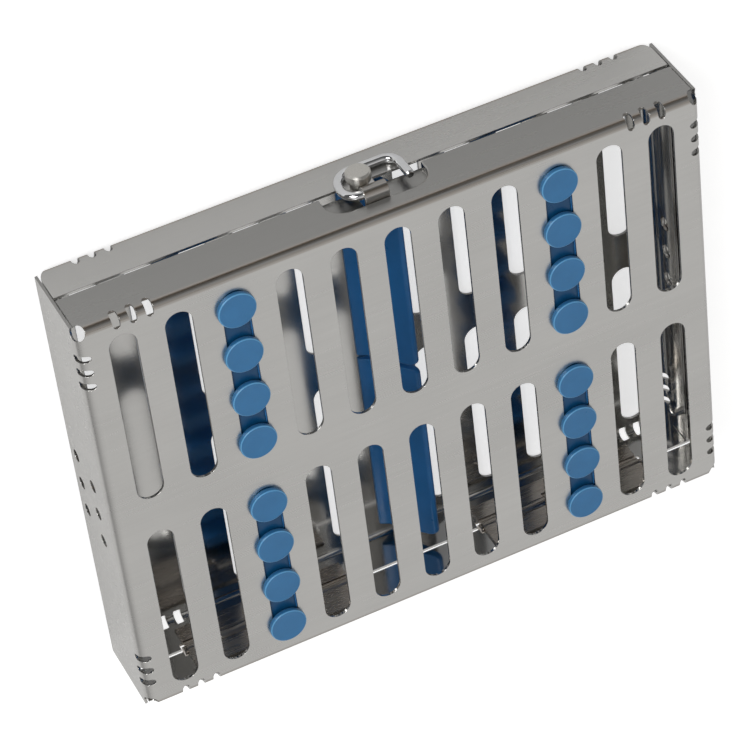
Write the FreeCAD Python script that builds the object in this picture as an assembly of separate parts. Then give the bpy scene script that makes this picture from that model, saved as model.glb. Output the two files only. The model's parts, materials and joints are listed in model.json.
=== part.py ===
"""Instrument sterilisation cassette: two perforated steel shells, hinged and latched.

Frame: millimetres, +Z up. The cassette lies flat. The hinges are at the back (+Y) and the
latch is at the front (-Y). The origin is the centre of the bounding box's bottom.
"""
import FreeCAD
import Part
import math
import os

V = FreeCAD.Vector

# Shells
LENGTH = 183.0
WIDTH = 140.4
DEPTH = 29.3
LOWER_DEPTH = 13.8
SHEET = 0.8
SPLIT_GAP = 1.2
NEST_GAP = 0.25
SEAM_GAP = 0.3
SEAM_LENGTH = 4.0
SKIRT_CLEARANCE = 2.5
UPPER_SIDE_BEND = 3.0
LOWER_SIDE_BEND = 5.5
LONG_BEND = 2.4

# Perforation
COLUMN_PITCH = 15.8
COLUMNS = 11
SLOT_WIDTH = 7.9
SLOT_START = 6.2
SLOT_END = 64.5
NICK_WIDTH = 2.2
NICK_LENGTH = 5.0
NICK_PITCH = 4.7
NICK_LONG_CENTRE = 75.0
NICK_SIDE_CENTRE = 55.7
CORNER_HOLE_RADIUS = 2.1
CORNER_HOLE_REACH = 6.0
END_HOLE_RADIUS = 1.9
END_HOLE_PLAY = 0.3
END_HOLE_PITCH = 10.2
END_HOLE_LOW = 7.4
END_HOLE_RISE = 10.5
END_HOLE_SHIFT = 3.0

# Silicone rails
BUTTON_RADIUS = 5.5
BUTTON_THICKNESS = 1.6
BUTTON_PITCH = 15.6
BUTTON_RIM = 0.45
BUTTONS = 4
STEM_RADIUS = 3.6
WEB_WIDTH = 7.5
WEB_HEIGHT = 0.5
WEB_GAP = 0.2
WEB_ROOT = 0.5
RACK_COLUMN = 3
RACK_WIDTH = 10.4
RACK_START = 4.5
RACK_END = 66.2
RACK_HEIGHT = 10.0
NOTCHES = 5
NOTCH_PITCH = 12.0
NOTCH_RADIUS = 2.6
NOTCH_DEPTH = 7.0
NOTCH_FLARE = 1.0
RACK_CORNER = 2.0
PAD_HALF_WIDTH = 5.2
PAD_START = 0.8
PAD_END = 65.0
PAD_BASE = 1.0
PAD_CORNER_RADIUS = 1.6
FIN_HEIGHT = 13.4
FIN_LEAN = 50.0
FIN_FRONT_FOOT = 4.4
FIN_BACK_FOOT = -3.2
FIN_TIP_THICKNESS = 2.2
FIN_ROOT_RUN = 1.6
FIN_ROOT_RISE = 0.9
FIN_CROWN_ANGLE = 110.0
FIN_BACK_ANGLE = 190.0

# Hinges
HINGE_START = 21.3
HINGE_LENGTH = 52.0
KNUCKLES = 5
KNUCKLE_GAP = 0.2
BARREL_RADIUS = 2.2
PIN_RADIUS = 1.05
PIN_CLEARANCE = 0.05
PIN_HEAD_RADIUS = 1.7
PIN_HEAD_LENGTH = 0.8
AXIS_OUTSET = 0.3
BARREL_CLEARANCE = 0.35
BARREL_END_CLEARANCE = 1.2
LEAF_SHEET = 0.8
UPPER_LEAF_HEIGHT = 9.6
LOWER_LEAF_HEIGHT = 8.2

# Latch, measured down from the top of the upper shell
WIRE_RADIUS = 1.3
WIRE_LIFT = 0.15
PIVOT_DROP = 8.9
POST_DROP = 14.2
STRAND_DROP = 19.9
LOOP_RIGHT = 9.0
LOOP_CORNER = 4.4
LOOP_LOW_CORNER = 5.4
FINGER_X = -9.6
FINGER_CORNER = 4.0
FINGER_END_DROP = 9.6
STRAND_END_X = -1.3
POST_X = 3.4
HEAD_RADIUS = 3.5
HEAD_THICKNESS = 2.7
HEAD_CHAMFER = 0.5
SHANK_RADIUS = 2.6
HEAD_GAP = 0.1
RIVET_RADIUS = 1.5
TAIL_RADIUS = 2.4
TAIL_THICKNESS = 0.7
LOBE_RADIUS = 4.4
DISH_HALF_WIDTH = 15.8
DISH_TOP_DROP = 5.7
DISH_CORNER = 6.5
DISH_DEPTH = 2.2
DISH_RIM = 0.55
TAB_START_X = -2.0
TAB_END_X = 5.0
TAB_CLEARANCE = 0.08
TAB_WRAP_END = -20.0
WIRE_TIP_CHAMFER = 0.4

# Heights and places that follow from the sizes above
LOWER_FACE = BUTTON_THICKNESS
UPPER_FACE = LOWER_FACE + DEPTH
SPLIT = LOWER_FACE + LOWER_DEPTH
HALF_X = LENGTH / 2
HALF_Y = WIDTH / 2
LOWER_HALF_X = HALF_X - SHEET - NEST_GAP
WIRE_OUT = WIRE_RADIUS + WIRE_LIFT
WIRE_Y = -HALF_Y - WIRE_OUT
PIVOT_Z = UPPER_FACE - PIVOT_DROP
POST_Z = UPPER_FACE - POST_DROP
STRAND_Z = UPPER_FACE - STRAND_DROP
HINGE_Y = HALF_Y + AXIS_OUTSET
HEAD_UNDERSIDE = 2 * WIRE_RADIUS + WIRE_LIFT + HEAD_GAP
FRONT_REACH = HALF_Y + HEAD_UNDERSIDE + HEAD_THICKNESS
REAR_REACH = HINGE_Y + BARREL_RADIUS
CENTRING_Y = (FRONT_REACH - REAR_REACH) / 2
ROW_CENTRE = (SLOT_START + SLOT_END) / 2
LONG = 500.0
PAST = 1.0
BACK_WALL_REACH = 3.0
TOLERANCE = 1e-6
DIAGONAL = 1 - math.sqrt(0.5)


def box(x0, x1, y0, y1, z0, z1):
    """Box between two corners."""
    return Part.makeBox(x1 - x0, y1 - y0, z1 - z0, V(x0, y0, z0))


def rod(start, direction, radius, length):
    """Cylinder from a start point along a direction."""
    return Part.makeCylinder(radius, length, V(*start), V(*direction))


def prism(edges, direction):
    """Solid made by extruding a closed outline."""
    return Part.Face(Part.Wire(edges)).extrude(V(*direction))


def line(a, b):
    """Straight edge."""
    return Part.makeLine(V(*a), V(*b))


def arc(a, middle, b):
    """Circular edge through three points."""
    return Part.Arc(V(*a), V(*middle), V(*b)).toShape()


def fuse(shapes):
    """One solid from touching shapes."""
    return shapes[0].multiFuse(shapes[1:]).removeSplitter()


def mirror_x(shape):
    """Copy reflected to the other end of the cassette."""
    return shape.mirror(V(0, 0, 0), V(1, 0, 0))


def mirror_y(shape):
    """Copy reflected to the other long side of the cassette."""
    return shape.mirror(V(0, 0, 0), V(0, 1, 0))


def bent_profile(half, closed_z, open_z, radius):
    """Outline of a U channel's outside in a plane: flat face at closed_z, bends, open end."""
    side = 1 if open_z > closed_z else -1
    bend_z = closed_z + side * radius
    inset = radius * DIAGONAL
    middle = half - inset
    middle_z = closed_z + side * inset
    return [
        ("line", (-half, open_z), (-half, bend_z)),
        ("arc", (-half, bend_z), (-middle, middle_z), (-half + radius, closed_z)),
        ("line", (-half + radius, closed_z), (half - radius, closed_z)),
        ("arc", (half - radius, closed_z), (middle, middle_z), (half, bend_z)),
        ("line", (half, bend_z), (half, open_z)),
        ("line", (half, open_z), (-half, open_z)),
    ]


def channel(profile, along_x):
    """Extrude a profile right through the cassette, along X or along Y."""
    def place(point):
        if along_x:
            return (-LONG / 2, point[0], point[1])
        return (point[0], -LONG / 2, point[1])
    edges = []
    for kind, *points in profile:
        placed = [place(point) for point in points]
        edges.append(line(*placed) if kind == "line" else arc(*placed))
    return prism(edges, (LONG, 0, 0) if along_x else (0, LONG, 0))


def tray(half_x, half_y, closed_z, open_z, side_bend, long_bend):
    """Solid block with one flat face and rounded bends on its four sides."""
    along_y = channel(bent_profile(half_x, closed_z, open_z, side_bend), False)
    along_x = channel(bent_profile(half_y, closed_z, open_z, long_bend), True)
    return along_y.common(along_x)


def folded_shell(half_x, closed_z, open_z, side_bend):
    """Hollow tray of constant sheet thickness."""
    step = SHEET if open_z > closed_z else -SHEET
    outside = tray(half_x, HALF_Y, closed_z, open_z, side_bend, LONG_BEND)
    inside = tray(half_x - SHEET, HALF_Y - SHEET, closed_z + step, open_z + step,
                  side_bend - SHEET, LONG_BEND - SHEET)
    return outside.cut(inside)


def obround(x, y0, y1, width, z0, z1):
    """Slot cutter with round ends, long in Y."""
    radius = width / 2
    edges = [
        line((x - radius, y0 + radius, z0), (x - radius, y1 - radius, z0)),
        arc((x - radius, y1 - radius, z0), (x, y1, z0), (x + radius, y1 - radius, z0)),
        line((x + radius, y1 - radius, z0), (x + radius, y0 + radius, z0)),
        arc((x + radius, y0 + radius, z0), (x, y0, z0), (x - radius, y0 + radius, z0)),
    ]
    return prism(edges, (0, 0, z1 - z0))


def slot_cutters(face_z):
    """Two rows of long slots across the whole panel."""
    cutters = []
    for column in range(COLUMNS):
        x = (column - (COLUMNS - 1) / 2) * COLUMN_PITCH
        for y0, y1 in ((SLOT_START, SLOT_END), (-SLOT_END, -SLOT_START)):
            cutters.append(obround(x, y0, y1, SLOT_WIDTH, face_z - 2 * SHEET, face_z + 2 * SHEET))
    return cutters


def nick(upwards):
    """Short slot cutter that crosses a bend at 45 degrees, with its middle on the origin."""
    cutter = obround(0, -NICK_LENGTH / 2, NICK_LENGTH / 2, NICK_WIDTH, -2 * SHEET, 2 * SHEET)
    tilt = -45 if upwards else 45
    cutter.rotate(V(0, 0, 0), V(1, 0, 0), tilt)
    return cutter


def nick_cutters(half_x, face_z, side_bend, upwards):
    """Three nicks near each corner on all four bends."""
    side = 1 if upwards else -1
    cutters = []
    for step in (-1, 0, 1):
        long_inset = LONG_BEND * DIAGONAL + SHEET / 3
        back = nick(upwards)
        back.translate(V(NICK_LONG_CENTRE + step * NICK_PITCH, HALF_Y - long_inset,
                         face_z - side * long_inset))
        side_inset = side_bend * DIAGONAL + SHEET / 3
        end = nick(upwards)
        end.rotate(V(0, 0, 0), V(0, 0, 1), -90)
        end.translate(V(half_x - side_inset, NICK_SIDE_CENTRE + step * NICK_PITCH,
                        face_z - side * side_inset))
        for cutter in (back, end):
            cutters += [cutter, mirror_x(cutter), mirror_y(cutter), mirror_x(mirror_y(cutter))]
    return cutters


def corner_cutters(half_x, face_z):
    """Round relief hole at each corner of the cover's panel, along the corner's diagonal."""
    start = (half_x - CORNER_HOLE_REACH, HALF_Y - CORNER_HOLE_REACH, face_z - CORNER_HOLE_REACH)
    hole = rod(start, (1, 1, 1), CORNER_HOLE_RADIUS, CORNER_HOLE_REACH * 3)
    return [hole, mirror_x(hole), mirror_y(hole), mirror_x(mirror_y(hole))]


def end_hole_cutters(radius):
    """Two rows of three round holes through both ends, the upper row set back a little."""
    cutters = []
    for row in (0, 1):
        z = LOWER_FACE + END_HOLE_LOW + row * END_HOLE_RISE
        for step in (-1, 0, 1):
            y = step * END_HOLE_PITCH + row * END_HOLE_SHIFT
            cutters.append(rod((-HALF_X - PAST, y, z), (1, 0, 0), radius, LENGTH + 2 * PAST))
    return cutters


def hinge_spans():
    """X range of each hinge."""
    return ((-HINGE_START - HINGE_LENGTH, -HINGE_START), (HINGE_START, HINGE_START + HINGE_LENGTH))


def barrel_room():
    """Space that the hinge barrels need in the back walls' free edges."""
    reach = BARREL_RADIUS + BARREL_CLEARANCE
    end = BARREL_END_CLEARANCE
    near = HALF_Y - BACK_WALL_REACH
    return [box(x0 - end, x1 + end, near, HALF_Y + PAST, SPLIT - reach, SPLIT + reach)
            for x0, x1 in hinge_spans()]


def dish_outline(inset, y, depth):
    """D shape against the split line, extruded inwards."""
    half = DISH_HALF_WIDTH - inset
    top = UPPER_FACE - DISH_TOP_DROP - inset
    radius = DISH_CORNER - inset
    low = SPLIT - PAST
    near = radius * DIAGONAL
    edges = [
        line((-half, y, low), (-half, y, top - radius)),
        arc((-half, y, top - radius), (-half + near, y, top - near), (-half + radius, y, top)),
        line((-half + radius, y, top), (half - radius, y, top)),
        arc((half - radius, y, top), (half - near, y, top - near), (half, y, top - radius)),
        line((half, y, top - radius), (half, y, low)),
        line((half, y, low), (-half, y, low)),
    ]
    return prism(edges, (0, depth, 0))


def soften_dish(shell):
    """Round the pressed dish's rim, as a press tool leaves it."""
    half = DISH_HALF_WIDTH
    rim = []
    for edge in shell.Edges:
        bounds = edge.BoundBox
        flat = bounds.YLength < TOLERANCE and abs(bounds.YMin + HALF_Y) < TOLERANCE
        inside = bounds.XMin > -half - PAST and bounds.XMax < half + PAST
        above = bounds.ZMax > SPLIT + SPLIT_GAP and bounds.ZMax < UPPER_FACE - DISH_TOP_DROP + SHEET / 8
        if flat and inside and above:
            rim.append(edge)
    return shell.makeFillet(DISH_RIM, rim)


def latch_tab():
    """Tongue raised from the dish floor that hooks over the bail's pivot strand."""
    inner = WIRE_RADIUS + TAB_CLEARANCE
    outer = inner + SHEET
    floor_y = -HALF_Y + DISH_DEPTH

    def at(radius, angle):
        turn = math.radians(angle)
        return (TAB_START_X, WIRE_Y - radius * math.sin(turn), PIVOT_Z - radius * math.cos(turn))
    edges = [
        line((TAB_START_X, floor_y + SHEET, PIVOT_Z + outer), at(outer, 180)),
        arc(at(outer, 180), at(outer, 90), at(outer, TAB_WRAP_END)),
        line(at(outer, TAB_WRAP_END), at(inner, TAB_WRAP_END)),
        arc(at(inner, TAB_WRAP_END), at(inner, 90), at(inner, 180)),
        line(at(inner, 180), (TAB_START_X, floor_y + SHEET, PIVOT_Z + inner)),
        line((TAB_START_X, floor_y + SHEET, PIVOT_Z + inner),
             (TAB_START_X, floor_y + SHEET, PIVOT_Z + outer)),
    ]
    return prism(edges, (TAB_END_X - TAB_START_X, 0, 0))


def upper_shell():
    """Perforated cover with full-depth ends, the latch dish and its curled tab."""
    shell = folded_shell(HALF_X, UPPER_FACE, LOWER_FACE + SKIRT_CLEARANCE, UPPER_SIDE_BEND)
    wall_low = SPLIT + SPLIT_GAP / 2
    inner_x = HALF_X - SHEET
    inner_y = HALF_Y - SHEET - PAST
    below = [box(-inner_x, inner_x, y0, y1, -PAST, wall_low)
             for y0, y1 in ((-HALF_Y - PAST, -inner_y), (inner_y, HALF_Y + PAST))]
    seam_top = UPPER_FACE - LONG_BEND
    seam = box(inner_x - SEAM_GAP, inner_x, inner_y, HALF_Y + PAST, -PAST, seam_top)
    seams = [seam, mirror_x(seam), mirror_y(seam), mirror_x(mirror_y(seam))]
    cutters = below + seams + slot_cutters(UPPER_FACE) + corner_cutters(HALF_X, UPPER_FACE)
    cutters += nick_cutters(HALF_X, UPPER_FACE, UPPER_SIDE_BEND, True)
    cutters += end_hole_cutters(END_HOLE_RADIUS) + barrel_room()
    shell = shell.cut(Part.makeCompound(cutters))
    press = dish_outline(0, -HALF_Y, DISH_DEPTH + SHEET)
    hollow = dish_outline(SHEET, -HALF_Y - PAST, DISH_DEPTH + PAST)
    shell = shell.cut(dish_outline(0, -HALF_Y - PAST, PAST + SHEET))
    behind_dish = -HALF_Y + DISH_DEPTH + SHEET + PAST
    lanced = box(TAB_START_X, TAB_END_X, -HALF_Y - PAST, behind_dish, SPLIT - PAST,
                 PIVOT_Z + WIRE_RADIUS + TAB_CLEARANCE)
    dish = press.cut(hollow).cut(lanced)
    dish = dish.cut(box(-HALF_X, HALF_X, -HALF_Y - PAST, behind_dish, SPLIT - 2 * PAST, wall_low))
    return fuse([soften_dish(fuse([shell, dish])), latch_tab()])


def post_lobe():
    """Rounded ear on the lower shell's front wall that carries the latch post."""
    ear = rod((POST_X, -HALF_Y, POST_Z), (0, 1, 0), LOBE_RADIUS, SHEET)
    root = box(POST_X - LOBE_RADIUS, POST_X + LOBE_RADIUS, -HALF_Y, -HALF_Y + SHEET, SPLIT - 2 * PAST,
               POST_Z)
    return ear.fuse(root)


def lower_shell():
    """Perforated tray that nests between the upper shell's ends."""
    wall_top = SPLIT - SPLIT_GAP / 2
    shell = folded_shell(LOWER_HALF_X, LOWER_FACE, wall_top, LOWER_SIDE_BEND)
    seam_low = LOWER_FACE + LOWER_SIDE_BEND
    inner_y = HALF_Y - SHEET
    seam = box(LOWER_HALF_X - SEAM_LENGTH, LOWER_HALF_X + PAST, inner_y - SEAM_GAP, inner_y,
               seam_low, wall_top + PAST)
    seams = [seam, mirror_x(seam), mirror_y(seam), mirror_x(mirror_y(seam))]
    cutters = seams + slot_cutters(LOWER_FACE)
    cutters += nick_cutters(LOWER_HALF_X, LOWER_FACE, LOWER_SIDE_BEND, False)
    cutters += end_hole_cutters(END_HOLE_RADIUS + END_HOLE_PLAY) + barrel_room()
    shell = shell.cut(Part.makeCompound(cutters))
    rivet_hole = rod((POST_X, -HALF_Y - PAST, POST_Z), (0, 1, 0), RIVET_RADIUS, 3 * PAST)
    return fuse([shell, post_lobe()]).cut(rivet_hole)


def button_places():
    """Y of each button in the rear row of slots."""
    first = ROW_CENTRE - BUTTON_PITCH * (BUTTONS - 1) / 2
    return [first + BUTTON_PITCH * index for index in range(BUTTONS)]


def grips(x, face_z, upwards):
    """Web, stems and button heads that hold a rail in its slot."""
    side = 1 if upwards else -1
    pieces = []
    inner_z = face_z - side * SHEET
    web = obround(x, SLOT_START + WEB_GAP, SLOT_END - WEB_GAP, WEB_WIDTH, inner_z - side * WEB_ROOT,
                  inner_z + side * WEB_HEIGHT)
    pieces.append(web)
    for y in button_places():
        pieces.append(rod((x, y, inner_z - side * PAST), (0, 0, side), STEM_RADIUS, SHEET + 2 * PAST))
        head = rod((x, y, face_z), (0, 0, side), BUTTON_RADIUS, BUTTON_THICKNESS)
        rim = [edge for edge in head.Edges
               if abs(edge.BoundBox.ZMax - edge.BoundBox.ZMin) < TOLERANCE
               and abs(edge.BoundBox.ZMin - face_z - side * BUTTON_THICKNESS) < TOLERANCE]
        pieces.append(head.makeFillet(BUTTON_RIM, rim))
    return pieces


def rack():
    """Silicone rail under the cover, notched for five instruments, in the rear row."""
    x = RACK_COLUMN * COLUMN_PITCH
    top = UPPER_FACE - SHEET
    body = box(x - RACK_WIDTH / 2, x + RACK_WIDTH / 2, RACK_START, RACK_END, top - RACK_HEIGHT, top)
    lengthwise = [edge for edge in body.Edges
                  if edge.BoundBox.XLength < TOLERANCE and edge.BoundBox.YLength < TOLERANCE]
    body = body.makeFillet(RACK_CORNER, lengthwise)
    low = top - RACK_HEIGHT
    below = low - PAST / 10
    cutters = []
    for index in range(NOTCHES):
        y = (RACK_START + RACK_END) / 2 + (index - (NOTCHES - 1) / 2) * NOTCH_PITCH
        seat_z = low + NOTCH_DEPTH - NOTCH_RADIUS
        cutters.append(rod((x - RACK_WIDTH, y, seat_z), (1, 0, 0), NOTCH_RADIUS, 2 * RACK_WIDTH))
        mouth = NOTCH_RADIUS + NOTCH_FLARE
        edges = [
            line((x - RACK_WIDTH, y - NOTCH_RADIUS, seat_z), (x - RACK_WIDTH, y + NOTCH_RADIUS, seat_z)),
            line((x - RACK_WIDTH, y + NOTCH_RADIUS, seat_z), (x - RACK_WIDTH, y + mouth, below)),
            line((x - RACK_WIDTH, y + mouth, below), (x - RACK_WIDTH, y - mouth, below)),
            line((x - RACK_WIDTH, y - mouth, below), (x - RACK_WIDTH, y - NOTCH_RADIUS, seat_z)),
        ]
        cutters.append(prism(edges, (2 * RACK_WIDTH, 0, 0)))
    body = body.cut(Part.makeCompound(cutters))
    return fuse([body] + grips(x, UPPER_FACE, True))


def fin_outline(low):
    """Section of a hold-down fin: a thin foot, and a lip that leans towards -X and is thick below."""
    lean = math.radians(FIN_LEAN)
    top = low + FIN_HEIGHT
    shoulder = low + PAD_BASE
    tip_radius = FIN_TIP_THICKNESS / 2
    tip_x = FIN_FRONT_FOOT - (FIN_HEIGHT - tip_radius) / math.tan(lean) - tip_radius
    tip_z = top - tip_radius
    root_x = FIN_FRONT_FOOT - FIN_ROOT_RUN
    root_z = shoulder + FIN_ROOT_RISE

    def at(x, z):
        return (x, PAD_START, z)

    def around_tip(angle):
        turn = math.radians(angle)
        return at(tip_x + tip_radius * math.cos(turn), tip_z + tip_radius * math.sin(turn))
    front = around_tip(90 - FIN_LEAN)
    crown = around_tip(FIN_CROWN_ANGLE)
    back = around_tip(FIN_BACK_ANGLE)
    edges = [
        line(at(-PAD_HALF_WIDTH, low), at(PAD_HALF_WIDTH, low)),
        line(at(PAD_HALF_WIDTH, low), at(PAD_HALF_WIDTH, low + PAD_BASE / 2)),
        line(at(PAD_HALF_WIDTH, low + PAD_BASE / 2), at(root_x, root_z)),
        line(at(root_x, root_z), front),
        arc(front, crown, back),
        line(back, at(FIN_BACK_FOOT, shoulder)),
        line(at(FIN_BACK_FOOT, shoulder), at(-PAD_HALF_WIDTH, shoulder)),
        line(at(-PAD_HALF_WIDTH, shoulder), at(-PAD_HALF_WIDTH, low)),
    ]
    return prism(edges, (0, PAD_END - PAD_START, 0))


def centre_pad():
    """Silicone hold-down fin on the lower shell's centre line, in the rear row."""
    low = LOWER_FACE + SHEET
    ends = box(-LONG, LONG, PAD_START, PAD_END, low, low + FIN_HEIGHT)
    crosswise = [edge for edge in ends.Edges if edge.BoundBox.XLength > 1]
    body = fin_outline(low).common(ends.makeFillet(PAD_CORNER_RADIUS, crosswise))
    return fuse([body] + grips(0, LOWER_FACE, False))


def knuckle_spans(x0, x1):
    """X range of each knuckle along one hinge."""
    step = (x1 - x0) / KNUCKLES
    return [(x0 + step * index + KNUCKLE_GAP / 2, x0 + step * (index + 1) - KNUCKLE_GAP / 2)
            for index in range(KNUCKLES)]


def hinge_leaf(x0, x1, upwards):
    """Leaf on the inside of a back wall, with every other knuckle."""
    side = 1 if upwards else -1
    height = UPPER_LEAF_HEIGHT if upwards else LOWER_LEAF_HEIGHT
    first = 0 if upwards else 1
    leaf_y = HALF_Y - SHEET
    reach = BARREL_RADIUS + BARREL_CLEARANCE
    heights = sorted((SPLIT + side * reach, SPLIT + side * height))
    pieces = [box(x0, x1, leaf_y - LEAF_SHEET, leaf_y, heights[0], heights[1])]
    for a, b in knuckle_spans(x0, x1)[first::2]:
        root = sorted((SPLIT, SPLIT + side * reach))
        pieces.append(box(a, b, leaf_y - LEAF_SHEET, leaf_y, root[0], root[1]))
        pieces.append(rod((a, HINGE_Y, SPLIT), (1, 0, 0), BARREL_RADIUS, b - a))
    bore = rod((x0 - PAST, HINGE_Y, SPLIT), (1, 0, 0), PIN_RADIUS + PIN_CLEARANCE, x1 - x0 + 2 * PAST)
    return fuse(pieces).cut(bore)


def hinge_pin(x0, x1):
    """Steel pin with a flat head at each end."""
    shaft = rod((x0, HINGE_Y, SPLIT), (1, 0, 0), PIN_RADIUS, x1 - x0)
    left = rod((x0 - PIN_HEAD_LENGTH, HINGE_Y, SPLIT), (1, 0, 0), PIN_HEAD_RADIUS, PIN_HEAD_LENGTH)
    right = rod((x1, HINGE_Y, SPLIT), (1, 0, 0), PIN_HEAD_RADIUS, PIN_HEAD_LENGTH)
    return fuse([shaft, left, right])


def latch_post():
    """Headed post riveted through the lower shell's ear."""
    face = -HALF_Y
    shank = rod((POST_X, face, POST_Z), (0, -1, 0), SHANK_RADIUS, HEAD_UNDERSIDE)
    head = rod((POST_X, face - HEAD_UNDERSIDE, POST_Z), (0, -1, 0), HEAD_RADIUS, HEAD_THICKNESS)
    outer = [edge for edge in head.Edges
             if edge.BoundBox.YLength < TOLERANCE
             and abs(edge.BoundBox.YMin - face + HEAD_UNDERSIDE + HEAD_THICKNESS) < TOLERANCE]
    head = head.makeChamfer(HEAD_CHAMFER, outer)
    rivet = rod((POST_X, face, POST_Z), (0, 1, 0), RIVET_RADIUS, SHEET)
    tail = rod((POST_X, face + SHEET, POST_Z), (0, 1, 0), TAIL_RADIUS, TAIL_THICKNESS)
    return fuse([shank, head, rivet, tail])


def wire_bend(centre, start_angle, turn, radius):
    """Quarter of a round wire ring in the XZ plane at the bail's depth."""
    angle = math.radians(start_angle)
    start = V(centre[0] + radius * math.cos(angle), WIRE_Y, centre[1] + radius * math.sin(angle))
    tangent = V(-math.sin(angle), 0, math.cos(angle))
    circle = Part.Face(Part.Wire(Part.Circle(start, tangent, WIRE_RADIUS).toShape()))
    return circle.revolve(V(centre[0], WIRE_Y, centre[1]), V(0, -1, 0), turn)


def latch_bail():
    """Round wire loop that turns in the curled tab and drops over the post."""
    right_x = LOOP_RIGHT - LOOP_CORNER
    low_right_x = LOOP_RIGHT - LOOP_LOW_CORNER
    low_bend_z = STRAND_Z + LOOP_LOW_CORNER
    pieces = [
        rod((STRAND_END_X, WIRE_Y, PIVOT_Z), (1, 0, 0), WIRE_RADIUS, right_x - STRAND_END_X),
        wire_bend((right_x, PIVOT_Z - LOOP_CORNER), 0, 90, LOOP_CORNER),
        rod((LOOP_RIGHT, WIRE_Y, low_bend_z), (0, 0, 1), WIRE_RADIUS,
            PIVOT_Z - LOOP_CORNER - low_bend_z),
        wire_bend((low_right_x, low_bend_z), -90, 90, LOOP_LOW_CORNER),
        rod((FINGER_X + FINGER_CORNER, WIRE_Y, STRAND_Z), (1, 0, 0), WIRE_RADIUS,
            low_right_x - FINGER_X - FINGER_CORNER),
        wire_bend((FINGER_X + FINGER_CORNER, STRAND_Z + FINGER_CORNER), 180, 90, FINGER_CORNER),
    ]
    finger_low = STRAND_Z + FINGER_CORNER
    finger = rod((FINGER_X, WIRE_Y, finger_low), (0, 0, 1), WIRE_RADIUS,
                 UPPER_FACE - FINGER_END_DROP - finger_low)
    tip = [edge for edge in finger.Edges
           if edge.BoundBox.ZLength < TOLERANCE and edge.BoundBox.ZMin > finger_low + PAST]
    pieces.append(finger.makeChamfer(WIRE_TIP_CHAMFER, tip))
    return fuse(pieces)


def all_parts():
    """Every node's name and solid."""
    rear_rack = rack()
    rear_pad = centre_pad()
    parts = {
        "upper_shell": upper_shell(),
        "lower_shell": lower_shell(),
        "rack_rear_right": rear_rack,
        "rack_rear_left": mirror_x(rear_rack),
        "rack_front_right": mirror_y(rear_rack),
        "rack_front_left": mirror_x(mirror_y(rear_rack)),
        "centre_pad_rear": rear_pad,
        "centre_pad_front": mirror_y(rear_pad),
        "latch_post": latch_post(),
        "latch_bail": latch_bail(),
    }
    for name, (x0, x1) in zip(("left", "right"), hinge_spans()):
        parts["hinge_" + name + "_upper_leaf"] = hinge_leaf(x0, x1, True)
        parts["hinge_" + name + "_lower_leaf"] = hinge_leaf(x0, x1, False)
        parts["hinge_" + name + "_pin"] = hinge_pin(x0, x1)
    return parts


def main():
    """Write one STEP file per node."""
    os.makedirs("parts", exist_ok=True)
    whole = None
    for name, shape in all_parts().items():
        shape.translate(V(0, CENTRING_Y, 0))
        solids = shape.Solids
        print(name, "solids", len(solids), "valid", shape.isValid(), "volume", round(shape.Volume, 1))
        piece = solids[0] if len(solids) == 1 else shape
        piece.exportStep("parts/" + name + ".step")
        bound = piece.BoundBox
        whole = bound if whole is None else whole.united(bound)
    print("box", [round(value, 2) for value in (whole.XMin, whole.YMin, whole.ZMin,
                                                whole.XMax, whole.YMax, whole.ZMax)])
    print("hinge axis y z", HINGE_Y + CENTRING_Y, SPLIT)
    print("bail axis y z", WIRE_Y + CENTRING_Y, PIVOT_Z)


main()
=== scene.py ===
"""Looks for the hinged instrument sterilisation cassette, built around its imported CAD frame."""

import json
import math

import bmesh
import bpy
from mathutils import Matrix, Vector

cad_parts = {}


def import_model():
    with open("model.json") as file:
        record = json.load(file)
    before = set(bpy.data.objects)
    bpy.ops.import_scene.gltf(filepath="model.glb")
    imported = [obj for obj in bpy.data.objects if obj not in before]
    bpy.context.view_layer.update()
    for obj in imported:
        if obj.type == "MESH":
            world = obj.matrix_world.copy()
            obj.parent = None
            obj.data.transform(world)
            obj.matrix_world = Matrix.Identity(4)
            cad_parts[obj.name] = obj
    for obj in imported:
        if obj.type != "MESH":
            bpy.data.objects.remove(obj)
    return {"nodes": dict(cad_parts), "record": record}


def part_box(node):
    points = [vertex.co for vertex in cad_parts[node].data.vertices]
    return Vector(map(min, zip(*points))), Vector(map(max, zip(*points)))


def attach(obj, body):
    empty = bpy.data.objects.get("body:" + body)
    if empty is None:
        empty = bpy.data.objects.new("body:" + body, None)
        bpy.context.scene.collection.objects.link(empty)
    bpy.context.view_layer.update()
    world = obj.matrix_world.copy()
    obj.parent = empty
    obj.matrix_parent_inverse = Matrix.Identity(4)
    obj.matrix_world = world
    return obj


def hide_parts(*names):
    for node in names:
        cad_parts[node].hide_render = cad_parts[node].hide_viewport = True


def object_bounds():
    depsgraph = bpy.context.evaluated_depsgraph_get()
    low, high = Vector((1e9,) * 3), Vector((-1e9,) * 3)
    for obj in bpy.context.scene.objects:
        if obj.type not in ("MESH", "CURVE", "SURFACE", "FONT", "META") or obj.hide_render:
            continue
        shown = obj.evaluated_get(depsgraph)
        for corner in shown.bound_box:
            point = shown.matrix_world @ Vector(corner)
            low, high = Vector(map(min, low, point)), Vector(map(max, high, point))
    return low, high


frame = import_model()
cad_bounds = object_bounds()

MM = 0.001

# Camera: where it aims, from which side, how far away and how rolled
AIM_X = 0.0114
AIM_Y = -0.0164
CAMERA_AZIMUTH = 21.7
CAMERA_ELEVATION = 44.3
CAMERA_ROLL = 142.8
CAMERA_DISTANCE = 0.991
CAMERA_LENS = 176.3
SENSOR_WIDTH = 36.0

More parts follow.
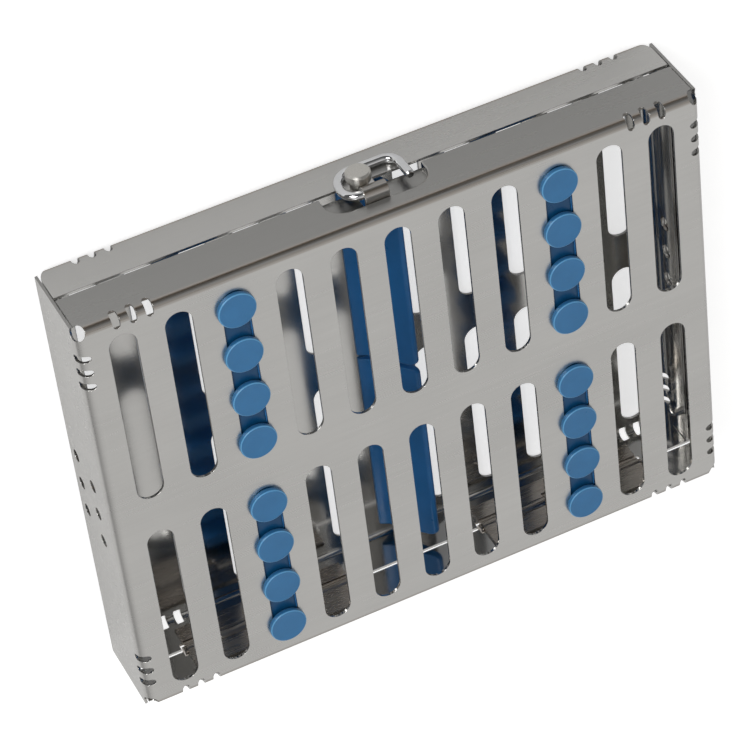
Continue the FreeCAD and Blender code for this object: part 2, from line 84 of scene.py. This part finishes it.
# Light and stage. The floor glows more to the camera than it lights the cassette.
WORLD_DARK = 0.10
WORLD_BRIGHT = 0.65
BRIGHT_SIDE = (-0.35, 0.65, 0.67)
WORLD_EDGE = (-0.25, 0.95)
WORLD_TINT = (1.0, 0.995, 0.985, 1.0)
KEY_PLACE = (0.85, -0.80, 0.90)
KEY_SIZE = 0.70
KEY_POWER = 10.5
FLOOR_SIZE = 8.0
FLOOR_CELLS = 8
FLOOR_ALBEDO = 0.80
FLOOR_GLOW = 0.62
FLOOR_SPILL = 0.10

# Colours, and the painted shade on the outer faces of the long walls, as a share of the sheet's colour
STEEL = (0.640, 0.632, 0.614)
COVER_WALL_SHADE = 0.54
TRAY_WALL_SHADE = 0.88
# Brown stain with painted dark reflection for the bends
BEND_STAIN_AND_SHADE = (0.30, 0.235, 0.175)
POST_STEEL = (0.60, 0.585, 0.55)
WIRE = (0.76, 0.765, 0.775)
HINGE_STEEL = (0.56, 0.53, 0.49)
# Brown painted into the hinge as its shadow and reflection
HINGE_SHADE_BROWN = (0.50, 0.43, 0.37)
SILICONE = (0.036, 0.185, 0.405)
# A lighter copy of the rubber colour: painted light for the combs and fins in the dark inside
SILICONE_BODY_LIT = (0.030, 0.200, 0.520)
# Painted highlight on the buttons' rounded rims
SILICONE_RIM_HIGHLIGHT = (0.170, 0.470, 0.780)
# Painted shade: the rubber's colour in crevices and on the recessed web
SILICONE_SHADE = (0.002, 0.062, 0.165)
# Lighter rubber on sharp edges: wear with a painted highlight
SILICONE_WORN_HIGHLIGHT = (0.16, 0.44, 0.74)
# Strength of the painted rim highlight on the buttons
BUTTON_RIM_HIGHLIGHT = 0.8

# Surface detail. A stretch multiplies a noise's coordinates along X, Y and Z.
EDGE_RADIUS = 0.22 * MM
# Edge mask limits, for edge wear and painted highlight
EDGE_MASK_SHARP = 0.72
EDGE_MASK_FLAT = 0.985
GRAIN_STRETCH = (26.0, 900.0, 900.0)
CLOUD_STRETCH = (1.0, 1.6, 1.6)
DRAWN_STRETCH = (3.0, 1600.0, 1600.0)
WIRE_STRETCH = (300.0, 3000.0, 300.0)
HINGE_STRETCH = (40.0, 900.0, 900.0)
POST_RING_PITCH = 0.16 * MM
POST_LINE_PITCH = 0.21 * MM
CREVICE_REACH = 2.0 * MM

# Silicone rails and hold-down fins
SHEET = 0.8 * MM
ROUND_STEPS = 72
SOFTEN_SEGMENTS = 3
SHARP_ANGLE = 32.0
BUTTONS = 4
BUTTON_PITCH = 15.6 * MM
BUTTON_RADIUS = 5.5 * MM
BUTTON_THICKNESS = 1.6 * MM
BUTTON_RIM = 0.5 * MM
BUTTON_UNDER_ROUND = 0.3 * MM
BUTTON_DISH = 0.10 * MM
DISH_EDGE_INSET = 0.35 * MM
DISH_EDGE_DROP = 0.05 * MM
DISH_RINGS = (0.70, 0.45, 0.2, 0.02)
STEM_RADIUS = 3.6 * MM
STEM_DEPTH = 1.6 * MM
STEM_FLARE = 0.25 * MM
WEB_WIDTH = 7.5 * MM
WEB_LENGTH = 57.9 * MM
WEB_RECESS = 0.7 * MM
WEB_UNDERSIDE = 1.3 * MM
WEB_EDGE_DEPTH = 0.2 * MM
WEB_EDGE_BEVEL = 0.06 * MM
WEB_EDGE_INSET = 0.22 * MM
RAIL_WIDTH = 10.4 * MM
RAIL_EDGE = 0.35 * MM
RAIL_TOP_GAP = 0.02 * MM
NOTCHES = 5
NOTCH_PITCH = 12.0 * MM
NOTCH_RADIUS = 2.6 * MM
NOTCH_DEPTH = 7.0 * MM
NOTCH_FLARE = 1.0 * MM
PAD_HALF_WIDTH = 5.2 * MM
PAD_BASE = 1.0 * MM
PAD_ROUND = 0.3 * MM
PAD_TOE = 0.5 * MM
PAD_SIDE_SHARE = 0.5
PAD_TOE_SHARE = 0.8
FIN_LEAN = 50.0
FIN_FRONT_FOOT = 4.4 * MM
FIN_BACK_FOOT = -3.2 * MM
FIN_EDGE = 0.25 * MM
FIN_TIP_RADIUS = 1.1 * MM
FIN_TIP_END = 190.0
FIN_ROOT_RUN = 1.6 * MM
FIN_ROOT_RISE = 0.9 * MM
FIN_END_RADIUS = 1.6 * MM
FIN_END_STEPS = 6
FIN_SPANS = 8


class Tree:
    """A small helper that adds nodes to a material and links them."""

    def __init__(self, name):
        self.material = bpy.data.materials.new(name)
        self.material.use_nodes = True
        self.nodes = self.material.node_tree.nodes
        self.links = self.material.node_tree.links
        self.shader = self.nodes["Principled BSDF"]

    def add(self, kind, **settings):
        node = self.nodes.new(kind)
        for key, value in settings.items():
            setattr(node, key, value)
        return node

    def link(self, source, target):
        self.links.new(source, target)

    def math(self, operation, a, b=0.0):
        node = self.add("ShaderNodeMath", operation=operation)
        for socket, value in zip(node.inputs, (a, b)):
            if isinstance(value, (int, float)):
                socket.default_value = value
            else:
                self.link(value, socket)
        return node.outputs[0]

    def place(self, scale=(1.0, 1.0, 1.0), location=(0.0, 0.0, 0.0)):
        """Coordinates in the CAD frame, which move with the piece."""
        source = self.add("ShaderNodeTexCoord")
        mapping = self.add("ShaderNodeMapping")
        mapping.inputs["Scale"].default_value = scale
        mapping.inputs["Location"].default_value = location
        self.link(source.outputs["Object"], mapping.inputs["Vector"])
        return mapping.outputs["Vector"]

    def axes(self, vector):
        """A vector's X, Y and Z."""
        parts = self.add("ShaderNodeSeparateXYZ")
        self.link(vector, parts.inputs[0])
        return parts.outputs

    def facing(self):
        """The surface's direction, as X, Y and Z in the CAD frame."""
        return self.axes(self.add("ShaderNodeTexCoord").outputs["Normal"])

    def noise(self, vector, scale, detail, roughness):
        node = self.add("ShaderNodeTexNoise")
        node.inputs["Scale"].default_value = scale
        node.inputs["Detail"].default_value = detail
        node.inputs["Roughness"].default_value = roughness
        self.link(vector, node.inputs["Vector"])
        return node.outputs["Fac"]

    def span(self, value, low, high, from_low=0.3, from_high=0.7):
        """Map a value's middle range to a new range."""
        node = self.add("ShaderNodeMapRange")
        node.inputs["From Min"].default_value = from_low
        node.inputs["From Max"].default_value = from_high
        node.inputs["To Min"].default_value = low
        node.inputs["To Max"].default_value = high
        self.link(value, node.inputs["Value"])
        return node.outputs["Result"]

    def mix_color(self, factor, a, b):
        node = self.add("ShaderNodeMix", data_type="RGBA")
        for socket, value in ((node.inputs[0], factor), (node.inputs[6], a), (node.inputs[7], b)):
            if isinstance(value, (int, float)):
                socket.default_value = value
            elif isinstance(value, tuple):
                socket.default_value = (*value, 1.0)
            else:
                self.link(value, socket)
        return node.outputs[2]

    def mottle(self, value, color, dark, light):
        """A colour that varies between two shares of itself."""
        return self.mix_color(self.span(value, 0.0, 1.0), shade(color, dark), shade(color, light))

    def layer(self, tone, over, mask, amount):
        """Lay one colour over another by a share of a mask."""
        return self.mix_color(self.math("MULTIPLY", mask, amount), tone, over)

    def mix(self, factor, a, b):
        node = self.add("ShaderNodeMix", data_type="FLOAT")
        for socket, value in ((node.inputs[0], factor), (node.inputs[2], a), (node.inputs[3], b)):
            if isinstance(value, (int, float)):
                socket.default_value = value
            else:
                self.link(value, socket)
        return node.outputs[0]

    def bump(self, height, distance, strength, normal=None):
        node = self.add("ShaderNodeBump")
        node.inputs["Strength"].default_value = strength
        node.inputs["Distance"].default_value = distance
        self.link(height, node.inputs["Height"])
        if normal is not None:
            self.link(normal, node.inputs["Normal"])
        return node.outputs["Normal"]

    def finish(self, tone, rough, normal, metallic):
        """Connect colour, roughness and normal to the shader."""
        self.link(tone, self.shader.inputs["Base Color"])
        self.link(rough, self.shader.inputs["Roughness"])
        self.link(normal, self.shader.inputs["Normal"])
        self.shader.inputs["Metallic"].default_value = metallic
        return self.material


def shade(color, amount):
    """Same hue, lighter or darker."""
    return tuple(channel * amount for channel in color)


def edge_wear_and_highlight(tree, radius):
    """The soft-edged normal, and a mask that is 1 on edges and 0 on flat faces, for edge wear and painted
    highlight.
    """
    bevel = tree.add("ShaderNodeBevel", samples=6)
    bevel.inputs["Radius"].default_value = radius
    geometry = tree.add("ShaderNodeNewGeometry")
    dot = tree.add("ShaderNodeVectorMath", operation="DOT_PRODUCT")
    tree.link(bevel.outputs["Normal"], dot.inputs[0])
    tree.link(geometry.outputs["Normal"], dot.inputs[1])
    mask = tree.span(dot.outputs["Value"], 1.0, 0.0, from_low=EDGE_MASK_SHARP, from_high=EDGE_MASK_FLAT)
    return bevel.outputs["Normal"], mask


def inside_mask(tree, centre):
    """1 on faces that look towards the cassette's middle, 0 on its outside."""
    source = tree.add("ShaderNodeTexCoord")
    offset = tree.add("ShaderNodeVectorMath", operation="SUBTRACT")
    tree.link(source.outputs["Object"], offset.inputs[0])
    offset.inputs[1].default_value = centre
    dot = tree.add("ShaderNodeVectorMath", operation="DOT_PRODUCT")
    tree.link(offset.outputs[0], dot.inputs[0])
    tree.link(source.outputs["Normal"], dot.inputs[1])
    return tree.math("LESS_THAN", dot.outputs["Value"], 0.0)


def bend_mask(tree):
    """1 along the middle of the long bends, 0 on every flat face."""
    facing = tree.facing()
    across = tree.math("ABSOLUTE", facing["Y"])
    upward = tree.math("ABSOLUTE", facing["Z"])
    turn = tree.math("MULTIPLY", tree.math("MULTIPLY", across, upward), 2.0)
    return tree.span(turn, 0.0, 1.0, from_low=0.05, from_high=0.75)


def wall_mask(tree):
    """1 on faces that look along Y, such as the long walls, 0 elsewhere."""
    across = tree.math("ABSOLUTE", tree.facing()["Y"])
    return tree.span(across, 0.0, 1.0, from_low=0.8, from_high=0.98)


def sheet_tone(tree, grain, fine, cloud, wear_and_highlight):
    """Colour of the flat sheet: clouded and grained, and lighter along edges as wear with a painted
    highlight.
    """
    tone = tree.mottle(cloud, STEEL, dark=0.95, light=1.04)
    tone = tree.mix_color(tree.span(grain, 0.0, 0.22), tone, shade(STEEL, 0.86))
    tone = tree.mix_color(tree.span(fine, 0.0, 0.10), tone, shade(STEEL, 1.12))
    return tree.layer(tone, shade(STEEL, 1.30), wear_and_highlight, amount=0.55)


def satin_steel(name, centre, wall_shade_tone):
    """Stainless sheet: satin outside, with painted shade on the long walls, brown stain and painted dark
    reflection on the bends, and brighter inside.
    """
    tree = Tree(name)
    inside = inside_mask(tree, centre)
    outside = tree.math("SUBTRACT", 1.0, inside)
    grain = tree.noise(tree.place(GRAIN_STRETCH), scale=1.0, detail=5.0, roughness=0.6)
    fine = tree.noise(tree.place(), scale=5200.0, detail=2.0, roughness=0.5)
    cloud = tree.noise(tree.place(CLOUD_STRETCH), scale=22.0, detail=3.0, roughness=0.5)
    drawn = tree.noise(tree.place(DRAWN_STRETCH), scale=1.0, detail=3.0, roughness=0.6)
    bevelled, wear_and_highlight = edge_wear_and_highlight(tree, EDGE_RADIUS)
    tone = sheet_tone(tree, grain, fine, cloud, wear_and_highlight)
    # Painted shade: the outer faces of the long walls are darkened
    wall_shade = tree.math("MULTIPLY", wall_mask(tree), outside)
    tone = tree.mix_color(wall_shade, tone, shade(STEEL, wall_shade_tone))
    # Brown stain with painted dark reflection along the outer bends
    bend = tree.math("MULTIPLY", bend_mask(tree), outside)
    stain_and_shade = tree.mix_color(tree.span(drawn, 0.0, 1.0), BEND_STAIN_AND_SHADE, shade(STEEL, 0.72))
    tone = tree.layer(tone, stain_and_shade, bend, amount=0.85)
    outside_rough = tree.math("ADD", tree.span(grain, 0.25, 0.35), tree.span(cloud, -0.02, 0.03))
    rough = tree.mix(inside, outside_rough, tree.span(cloud, 0.10, 0.17))
    rough = tree.mix(wear_and_highlight, rough, 0.16)
    height = tree.math("ADD", grain, tree.math("MULTIPLY", fine, 0.5))
    normal = tree.bump(height, distance=0.004 * MM, strength=0.35, normal=bevelled)
    return tree.finish(tone, rough, normal, metallic=1.0)


def waves(tree, distance, pitch):
    """Fine ridges, one for each pitch of a distance."""
    return tree.math("SINE", tree.math("MULTIPLY", distance, 2.0 * math.pi / pitch))


def turned_steel(name, centre):
    """Machined post with fine rings round its own axis, which runs along Y."""
    tree = Tree(name)
    place = tree.axes(tree.place(location=(-centre.x, 0.0, -centre.z)))
    across = tree.math("MULTIPLY", place["X"], place["X"])
    upward = tree.math("MULTIPLY", place["Z"], place["Z"])
    radius = tree.math("SQRT", tree.math("ADD", across, upward))
    rings = waves(tree, radius, POST_RING_PITCH)
    along = waves(tree, place["Y"], POST_LINE_PITCH)
    grit = tree.noise(tree.place(), scale=2600.0, detail=3.0, roughness=0.6)
    bevelled, wear_and_highlight = edge_wear_and_highlight(tree, EDGE_RADIUS)
    tone = tree.mottle(grit, POST_STEEL, dark=0.90, light=1.08)
    # Worn edges lighter: wear with a painted highlight
    tone = tree.layer(tone, shade(POST_STEEL, 1.35), wear_and_highlight, amount=0.6)
    rough = tree.mix(wear_and_highlight, tree.span(grit, 0.30, 0.42), 0.15)
    height = tree.math("ADD", tree.math("ADD", rings, along), tree.math("MULTIPLY", grit, 2.0))
    normal = tree.bump(height, distance=0.004 * MM, strength=0.6, normal=bevelled)
    return tree.finish(tone, rough, normal, metallic=1.0)


def bright_wire(name):
    """Polished spring wire with faint drawing lines and rub marks."""
    tree = Tree(name)
    lines = tree.noise(tree.place(WIRE_STRETCH), scale=1.0, detail=3.0, roughness=0.5)
    rub = tree.noise(tree.place(), scale=260.0, detail=4.0, roughness=0.6)
    tone = tree.mottle(rub, WIRE, dark=0.93, light=1.05)
    normal = tree.bump(lines, distance=0.004 * MM, strength=0.4)
    return tree.finish(tone, tree.span(rub, 0.05, 0.12), normal, metallic=1.0)


def hinge_steel(name):
    """Rolled hinge stock, warmer in colour than the shells, with patches of painted brown shade and
    reflection.
    """
    tree = Tree(name)
    grain = tree.noise(tree.place(HINGE_STRETCH), scale=1.0, detail=4.0, roughness=0.6)
    warmth = tree.noise(tree.place(), scale=90.0, detail=3.0, roughness=0.5)
    bevelled, wear_and_highlight = edge_wear_and_highlight(tree, EDGE_RADIUS)
    # Painted brown shade and reflection in patches
    tone = tree.mix_color(tree.span(warmth, 0.0, 0.8), HINGE_STEEL, HINGE_SHADE_BROWN)
    # Worn edges lighter: wear with a painted highlight
    tone = tree.layer(tone, shade(HINGE_STEEL, 1.4), wear_and_highlight, amount=0.6)
    rough = tree.mix(wear_and_highlight, tree.span(grain, 0.20, 0.33), 0.14)
    normal = tree.bump(grain, distance=0.005 * MM, strength=0.4, normal=bevelled)
    return tree.finish(tone, rough, normal, metallic=1.0)


def rounded_edge(tree):
    """1 where a surface turns from flat to upright, 0 on flat and upright faces: the mask for the painted
    rim highlight.
    """
    upward = tree.facing()["Z"]
    square = tree.math("MULTIPLY", upward, upward)
    turn = tree.math("MULTIPLY", square, tree.math("SUBTRACT", 1.0, square))
    return tree.span(turn, 0.0, 1.0, from_low=0.05, from_high=0.22)


def crevice_shade(tree):
    """Mask for the painted shade in crevices: 1 where other surfaces crowd round, 0 in the open."""
    nearness = tree.add("ShaderNodeAmbientOcclusion", samples=8)
    nearness.inputs["Distance"].default_value = CREVICE_REACH
    return tree.span(nearness.outputs["AO"], 0.8, 0.0, from_low=0.02, from_high=0.30)


def silicone(name, color, rim_highlight=0.0):
    """Moulded silicone rubber: soft sheen, faint bloom, fine mould texture, painted shade in crevices, and
    painted highlight on edges and, by a given strength, on rounded rims.
    """
    tree = Tree(name)
    bloom = tree.noise(tree.place(), scale=130.0, detail=4.0, roughness=0.6)
    skin = tree.noise(tree.place(), scale=3400.0, detail=2.0, roughness=0.5)
    bevelled, wear_and_highlight = edge_wear_and_highlight(tree, 2.0 * EDGE_RADIUS)
    tone = tree.mottle(bloom, color, dark=0.93, light=1.05)
    # Sharp edges lighter: wear with a painted highlight
    tone = tree.layer(tone, SILICONE_WORN_HIGHLIGHT, wear_and_highlight, amount=0.30)
    # Painted highlight on rounded rims, by the given strength
    tone = tree.layer(tone, SILICONE_RIM_HIGHLIGHT, rounded_edge(tree), rim_highlight)
    # Painted shade in crevices
    tone = tree.mix_color(crevice_shade(tree), tone, SILICONE_SHADE)
    shader = tree.shader.inputs
    shader["Subsurface Weight"].default_value = 0.08
    shader["Subsurface Radius"].default_value = (0.2, 0.5, 1.0)
    shader["Subsurface Scale"].default_value = 1.0 * MM
    shader["Specular IOR Level"].default_value = 0.42
    shader["Sheen Weight"].default_value = 0.06
    shader["Sheen Roughness"].default_value = 0.4
    normal = tree.bump(skin, distance=0.006 * MM, strength=0.35, normal=bevelled)
    return tree.finish(tone, tree.span(bloom, 0.27, 0.36), normal, metallic=0.0)


def paint(node_name, material):
    """Give a CAD node its finished material."""
    node = frame["nodes"][node_name]
    node.data.materials.clear()
    node.data.materials.append(material)


def dress_frame():
    """Paint every CAD node by its material slot, and return the materials by name."""
    middle = (cad_bounds[0] + cad_bounds[1]) / 2
    post_low, post_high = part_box("latch_post")
    made = {
        # Buttons carry the painted rim highlight
        "button": silicone("silicone_button", SILICONE, BUTTON_RIM_HIGHLIGHT),
        # The web is painted in the shade colour, a shaded copy of the rubber
        "web": silicone("silicone_web_shaded", SILICONE_SHADE),
        "post_steel": turned_steel("post_steel", (post_low + post_high) / 2),
        "bright_wire": bright_wire("bright_wire"),
        "hinge_steel": hinge_steel("hinge_steel"),
        # Combs and fins get the lighter copy of the rubber: painted light for the dark inside
        "silicone": silicone("silicone", SILICONE_BODY_LIT),
        "satin_steel": satin_steel("satin_steel", middle, TRAY_WALL_SHADE),
    }
    for part in frame["record"]["subparts"]:
        paint(part["node"], made[part["material_slot"]])
    # The cover's long walls get a deeper painted shade than the tray's
    paint("upper_shell", satin_steel("satin_steel_cover", middle, COVER_WALL_SHADE))
    return made


def mesh_piece(name, maker, material, body, *nodes):
    """Finish a bmesh as a smooth rubber piece that rides on a body and may stand for CAD nodes."""
    bmesh.ops.recalc_face_normals(maker, faces=maker.faces)
    mesh = bpy.data.meshes.new(name)
    maker.to_mesh(mesh)
    maker.free()
    mesh.shade_smooth()
    mesh.materials.append(materials[material])
    piece = bpy.data.objects.new(name, mesh)
    bpy.context.scene.collection.objects.link(piece)
    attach(piece, body)
    if nodes:
        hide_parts(*nodes)
    return piece


def soften(piece, width):
    """Round every sharp edge, as a mould leaves it."""
    bevel = piece.modifiers.new("soft_edges", "BEVEL")
    bevel.width = width
    bevel.segments = SOFTEN_SEGMENTS
    bevel.limit_method = "ANGLE"
    bevel.angle_limit = math.radians(SHARP_ANGLE)
    bevel.harden_normals = True


def sweep_arc(centre, radius, start, end, steps):
    """Points on an arc, in degrees, both ends included."""
    points = []
    for step in range(steps + 1):
        angle = math.radians(start + (end - start) * step / steps)
        points.append((centre[0] + radius * math.cos(angle), centre[1] + radius * math.sin(angle)))
    return points


def loft(maker, rings):
    """Closed skin through rings of equal length, capped at both ends."""
    rows = [[maker.verts.new(point) for point in ring] for ring in rings]
    count = len(rows[0])
    for lower, upper in zip(rows, rows[1:]):
        for index in range(count):
            after = (index + 1) % count
            maker.faces.new((lower[index], lower[after], upper[after], upper[index]))
    maker.faces.new(rows[0])
    maker.faces.new(list(reversed(rows[-1])))


def lathe(maker, profile, centre, up):
    """Turned solid about a vertical axis, from (radius, height) pairs."""
    rings = []
    for radius, height in profile:
        ring = []
        for turn in range(ROUND_STEPS):
            angle = 2 * math.pi * turn / ROUND_STEPS
            ring.append((centre[0] + radius * math.cos(angle), centre[1] + radius * math.sin(angle),
                         centre[2] + up * height))
        rings.append(ring)
    loft(maker, rings)


def button_profile():
    """Half section of a button: stem, flat underside, rounded rim and a slightly dished face."""
    rim = BUTTON_RIM
    under = BUTTON_UNDER_ROUND
    radius = BUTTON_RADIUS
    top = BUTTON_THICKNESS
    profile = [(STEM_RADIUS, -STEM_DEPTH), (STEM_RADIUS, -STEM_FLARE), (STEM_RADIUS + STEM_FLARE, 0.0)]
    profile += sweep_arc((radius - under, under), under, -90, 0, steps=5)
    profile += sweep_arc((radius - rim, top - rim), rim, 0, 90, steps=8)
    profile.append((radius - rim - DISH_EDGE_INSET, top - DISH_EDGE_DROP))
    profile += [(radius * share, top - BUTTON_DISH) for share in DISH_RINGS]
    return profile


def button_row(name, centre_x, centre_y, face_z, up, body):
    """Four button heads on their stems, in one row of slots."""
    maker = bmesh.new()
    for index in range(BUTTONS):
        y = centre_y + (index - (BUTTONS - 1) / 2) * BUTTON_PITCH
        lathe(maker, button_profile(), (centre_x, y, face_z), up)
    return mesh_piece(name, maker, "button", body)


def web_strip(name, centre_x, centre_y, face_z, up, body):
    """Strip with round ends that joins the stems inside the slot."""
    maker = bmesh.new()
    half = WEB_WIDTH / 2
    reach = WEB_LENGTH / 2 - half
    outline = sweep_arc((0.0, reach), half, 0, 180, steps=20)
    outline += sweep_arc((0.0, -reach), half, 180, 360, steps=20)
    levels = ((0.0, -WEB_UNDERSIDE), (0.0, -WEB_RECESS - WEB_EDGE_DEPTH),
              (WEB_EDGE_BEVEL, -WEB_RECESS - WEB_EDGE_BEVEL), (WEB_EDGE_INSET, -WEB_RECESS))
    rings = []
    for inset, height in levels:
        narrow = 1.0 - inset / half
        short = 1.0 - inset / (reach + half)
        rings.append([(centre_x + x * narrow, centre_y + y * short, face_z + up * height)
                      for x, y in outline])
    loft(maker, rings)
    return mesh_piece(name, maker, "web", body)


def comb_outline(start, end, low, top):
    """Side view of a rail: flat top, and notches open below with round seats and flared mouths."""
    points = [(start, top), (start, low)]
    mouth = NOTCH_RADIUS + NOTCH_FLARE
    seat = low + NOTCH_DEPTH - NOTCH_RADIUS
    for index in range(NOTCHES):
        y = (start + end) / 2 + (index - (NOTCHES - 1) / 2) * NOTCH_PITCH
        points.append((y - mouth, low))
        points += sweep_arc((y, seat), NOTCH_RADIUS, 180, 0, steps=14)
        points.append((y + mouth, low))
    return points + [(end, low), (end, top)]


def rail(node):
    """Silicone instrument rail under the cover: notched comb, buttons and web."""
    low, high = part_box(node)
    centre_x = (low.x + high.x) / 2
    centre_y = (low.y + high.y) / 2
    face_z = high.z - BUTTON_THICKNESS
    maker = bmesh.new()
    outline = comb_outline(low.y, high.y, low.z, face_z - SHEET - RAIL_TOP_GAP)
    half = RAIL_WIDTH / 2
    loft(maker, [[(centre_x + side * half, y, z) for y, z in outline] for side in (-1, 1)])
    comb = mesh_piece(node + "_comb", maker, "silicone", "cover", node)
    soften(comb, RAIL_EDGE)
    button_row(node + "_buttons", centre_x, centre_y, face_z, 1, "cover")
    web_strip(node + "_web", centre_x, centre_y, face_z, 1, "cover")


def fin_section(top, low):
    """Section of a hold-down fin as (x from the buttons' line, z) pairs, up to a given top."""
    lean = math.radians(FIN_LEAN)
    shoulder = low + PAD_BASE
    tip = FIN_TIP_RADIUS
    tip_z = top - tip
    tip_x = FIN_FRONT_FOOT - (tip_z - low) / math.tan(lean) - tip
    foot = PAD_HALF_WIDTH
    points = [(-foot, low), (foot, low), (foot, low + PAD_SIDE_SHARE * PAD_BASE)]
    points.append((foot - PAD_TOE, low + PAD_TOE_SHARE * PAD_BASE))
    points.append((FIN_FRONT_FOOT - FIN_ROOT_RUN, shoulder + FIN_ROOT_RISE))
    points += sweep_arc((tip_x, tip_z), tip, 90 - FIN_LEAN, FIN_TIP_END, steps=10)
    points.append((FIN_BACK_FOOT, shoulder + PAD_ROUND))
    points.append((FIN_BACK_FOOT - PAD_ROUND, shoulder))
    points.append((-foot + PAD_ROUND, shoulder))
    points.append((-foot, shoulder - PAD_ROUND))
    return points


def end_drop(distance):
    """How far the crest lies below its full height, at a distance from the fin's end."""
    rest = FIN_END_RADIUS - distance
    return FIN_END_RADIUS - math.sqrt(max(FIN_END_RADIUS ** 2 - rest ** 2, 0.0))


def fin_stations(start, end):
    """(y, drop of the crest) along a fin: a rounded end, the level crest and a rounded end."""
    turn = [FIN_END_RADIUS * (1 - math.cos(math.pi / 2 * step / FIN_END_STEPS))
            for step in range(FIN_END_STEPS + 1)]
    level = end - start - 2 * FIN_END_RADIUS
    stations = [(start + distance, end_drop(distance)) for distance in turn]
    stations += [(start + FIN_END_RADIUS + level * share / FIN_SPANS, 0.0) for share in range(1, FIN_SPANS)]
    return stations + [(end - distance, end_drop(distance)) for distance in reversed(turn)]


def hold_down_fin(node, row):
    """Leaning silicone fin on the tray's centre line, with buttons and web under the tray."""
    low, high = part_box(node)
    row_y = sum(corner.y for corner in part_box("rack_" + row + "_right")) / 2
    centre_x = high.x - BUTTON_RADIUS
    foot_z = low.z + BUTTON_THICKNESS + SHEET
    maker = bmesh.new()
    loft(maker, [[(centre_x + x, y, z) for x, z in fin_section(high.z - drop, foot_z)]
                 for y, drop in fin_stations(low.y, high.y)])
    fin = mesh_piece(node + "_fin", maker, "silicone", "tray", node)
    soften(fin, FIN_EDGE)
    face_z = low.z + BUTTON_THICKNESS
    button_row(node + "_buttons", centre_x, row_y, face_z, -1, "tray")
    web_strip(node + "_web", centre_x, row_y, face_z, -1, "tray")


def rubber_parts():
    """All six silicone parts."""
    for row in ("rear", "front"):
        for side in ("right", "left"):
            rail("rack_" + row + "_" + side)
        hold_down_fin("centre_pad_" + row, row)


def floor():
    """Pale studio floor, with more glow for the camera than for the cassette."""
    mesh = bpy.data.meshes.new("floor")
    maker = bmesh.new()
    bmesh.ops.create_grid(maker, x_segments=FLOOR_CELLS, y_segments=FLOOR_CELLS, size=FLOOR_SIZE / 2)
    maker.to_mesh(mesh)
    maker.free()
    piece = bpy.data.objects.new("floor", mesh)
    bpy.context.scene.collection.objects.link(piece)
    tree = Tree("floor")
    grit = tree.noise(tree.place(), scale=40.0, detail=3.0, roughness=0.5)
    pale = (FLOOR_ALBEDO, FLOOR_ALBEDO, FLOOR_ALBEDO)
    seen = tree.add("ShaderNodeLightPath")
    glow = tree.mix(seen.outputs["Is Camera Ray"], FLOOR_SPILL, FLOOR_GLOW)
    shader = tree.shader.inputs
    tree.link(tree.mottle(grit, pale, dark=0.99, light=1.0), shader["Base Color"])
    tree.link(glow, shader["Emission Strength"])
    shader["Roughness"].default_value = 0.9
    shader["Specular IOR Level"].default_value = 0.0
    shader["Emission Color"].default_value = (1.0, 1.0, 1.0, 1.0)
    mesh.materials.append(tree.material)


def area_light(name, place, aim, size, power):
    """Square soft box that faces a point."""
    data = bpy.data.lights.new(name, "AREA")
    data.shape = "SQUARE"
    data.size = size
    data.energy = power
    lamp = bpy.data.objects.new(name, data)
    bpy.context.scene.collection.objects.link(lamp)
    lamp.location = place
    lamp.rotation_euler = (Vector(aim) - Vector(place)).to_track_quat("-Z", "Y").to_euler()


def world():
    """Studio surroundings: bright overhead and on the hinge side, dark on the latch side."""
    made = bpy.data.worlds.new("studio")
    made.use_nodes = True
    nodes = made.node_tree.nodes
    links = made.node_tree.links
    source = nodes.new("ShaderNodeTexCoord")
    dot = nodes.new("ShaderNodeVectorMath")
    dot.operation = "DOT_PRODUCT"
    links.new(source.outputs["Generated"], dot.inputs[0])
    dot.inputs[1].default_value = Vector(BRIGHT_SIDE).normalized()
    ramp = nodes.new("ShaderNodeMapRange")
    ramp.interpolation_type = "SMOOTHSTEP"
    ramp.inputs["From Min"].default_value = WORLD_EDGE[0]
    ramp.inputs["From Max"].default_value = WORLD_EDGE[1]
    ramp.inputs["To Min"].default_value = WORLD_DARK
    ramp.inputs["To Max"].default_value = WORLD_BRIGHT
    links.new(dot.outputs["Value"], ramp.inputs["Value"])
    links.new(ramp.outputs["Result"], nodes["Background"].inputs["Strength"])
    nodes["Background"].inputs["Color"].default_value = WORLD_TINT
    bpy.context.scene.world = made


def lights():
    """One soft key from the right, ahead of the latch side."""
    area_light("key", KEY_PLACE, (0.0, 0.0, 0.0), KEY_SIZE, KEY_POWER)


def camera():
    """Long lens, rolled so that the latch edge is uppermost."""
    data = bpy.data.cameras.new("camera")
    data.lens = CAMERA_LENS
    data.sensor_width = SENSOR_WIDTH
    eye = bpy.data.objects.new("camera", data)
    bpy.context.scene.collection.objects.link(eye)
    azimuth = math.radians(CAMERA_AZIMUTH)
    elevation = math.radians(CAMERA_ELEVATION)
    towards = Vector((math.sin(azimuth) * math.cos(elevation),
                      -math.cos(azimuth) * math.cos(elevation), math.sin(elevation)))
    top_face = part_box("upper_shell")[1].z
    eye.location = Vector((AIM_X, AIM_Y, top_face)) + towards * CAMERA_DISTANCE
    level = (-towards).to_track_quat("-Z", "Y").to_matrix()
    roll = Matrix.Rotation(math.radians(CAMERA_ROLL), 4, "Z")
    eye.rotation_euler = (level.to_4x4() @ roll).to_euler()
    bpy.context.scene.camera = eye


materials = dress_frame()
rubber_parts()
floor()
world()
lights()
camera()
bpy.context.scene.view_settings.view_transform = "Standard"
